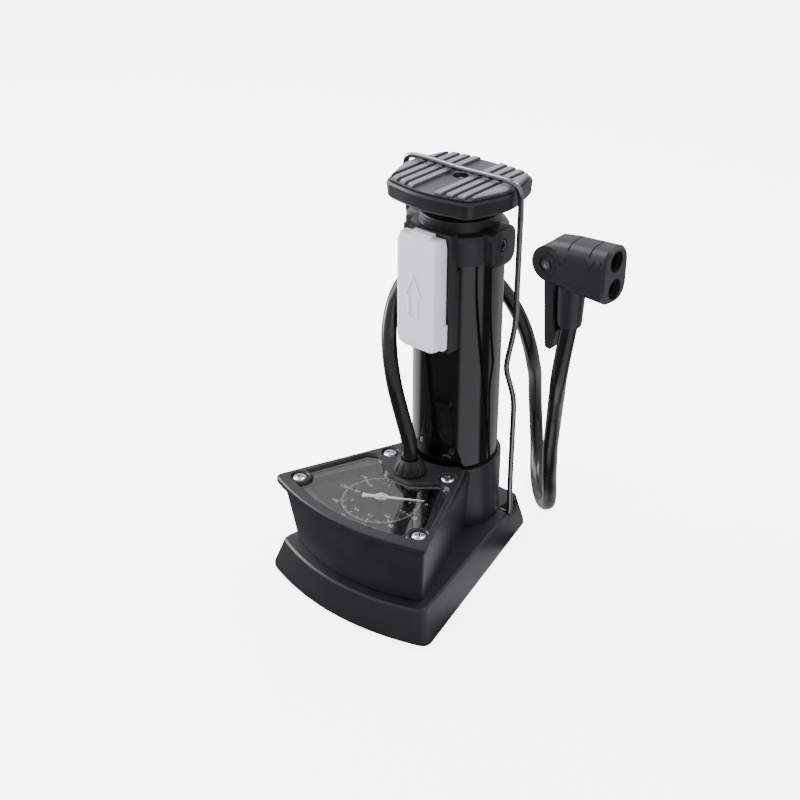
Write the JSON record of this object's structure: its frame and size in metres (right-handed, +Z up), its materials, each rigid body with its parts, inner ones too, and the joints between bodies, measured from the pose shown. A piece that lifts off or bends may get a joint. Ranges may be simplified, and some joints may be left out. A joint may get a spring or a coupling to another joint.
{
  "type": "foot air pump",
  "caption": "Upright foot pump, folded: fan base with a pressure gauge, black barrel, ribbed foot pedal held down by a wire bail, and a hose to a two-port head.",
  "frame": {"origin": "on the floor under the axis of the barrel", "axes": "+Z up along the barrel, -Y towards the gauge at the front, +X to the pump's right, where the pump head stands"},
  "size_m": [0.157, 0.1933, 0.22],
  "materials": {
    "black_plastic": "fine satin grain",
    "black_enamel": "gloss black enamel",
    "black_rubber": "matt",
    "hose_rubber": "smooth, slightly glossy",
    "steel": "bright zinc plate",
    "dark_chrome": "dark polished plating",
    "brass": "plain turned brass",
    "tread_rubber": "matt, moulded ribs",
    "clear_plastic": "clear, polished",
    "case_plastic": "frosted, translucent",
    "dial_print": "printed dial",
    "pointer_paint": "pale paint",
    "guide_plastic": "dark low-friction plastic"
  },
  "bodies": {
    "pump": {"barrel": "black_enamel", "barrel_plug": "black_plastic", "barrel_screw_front": "black_enamel", "barrel_screw_left": "black_enamel", "barrel_screw_rear": "black_enamel", "base_pad": "black_rubber", "base_plate": "black_plastic", "base_screw_1": "steel", "base_screw_2": "steel", "bourdon_tube": "brass", "cap_screw_left": "black_enamel", "cap_screw_right": "black_enamel", "case_holder": "black_plastic", "cover_screw_1": "steel", "cover_screw_2": "steel", "cover_screw_3": "steel", "cover_screw_4": "steel", "dial_plate": "dial_print", "gauge_cover": "black_plastic", "gauge_housing": "black_plastic", "gauge_lens": "clear_plastic", "gauge_socket": "brass", "guide_bush": "guide_plastic", "head_body": "black_plastic", "hose": "hose_rubber", "hose_barb": "brass", "hose_gland": "black_rubber", "lever_pin": "steel", "plug_oring": "black_rubber", "return_spring": "steel", "top_cap": "black_plastic", "valve_seal_lower": "black_rubber", "valve_seal_upper": "black_rubber"},
    "pedal": {"pedal_body": "black_plastic", "tread_pad": "tread_rubber", "pedal_screw": "steel", "piston_rod": "steel", "piston": "black_plastic", "piston_seal": "black_rubber", "piston_nut": "steel"},
    "bail": {"bail_wire": "dark_chrome"},
    "lever": {"thumb_lever": "black_plastic"},
    "needle": {"pointer": "pointer_paint", "pointer_shaft": "brass"},
    "case": {"case_cover": "case_plastic", "case_tray": "case_plastic", "ball_needle": "steel", "tapered_nozzle": "brass"},
    "valve_disc": {"check_valve_disc": "black_rubber"}
  },
  "joints": [
    {"name": "pedal_stroke", "type": "slide", "parent": "pump", "child": "pedal", "axis": [0, 0, 1], "range_m": [0, 0.1], "deforming": ["return_spring"]},
    {"name": "bail_swing", "type": "hinge", "parent": "pump", "child": "bail", "pos_m": [0, 0.013, 0.018], "axis": [-1, 0, 0], "range_deg": [0, 95]},
    {"name": "lever_flip", "type": "hinge", "parent": "pump", "child": "lever", "pos_m": [0.0716, -0.018, 0.1963], "axis": [0, 1, 0], "range_deg": [0, 90]},
    {"name": "needle_turn", "type": "hinge", "parent": "pump", "child": "needle", "pos_m": [0, -0.062, 0.054], "axis": [0, 0, -1], "range_deg": [0, 270]},
    {"name": "case_slide", "type": "slide", "parent": "pump", "child": "case", "axis": [0, 0, 1], "range_m": [0, 0.01]},
    {"name": "valve_lift", "type": "slide", "parent": "pump", "child": "valve_disc", "axis": [0, 0, 1], "range_m": [0, 0.001]}
  ],
  "couplings": [
    {"joint": "bail_swing", "follows": "pedal_stroke", "rad_per_m": 16.58}
  ]
}
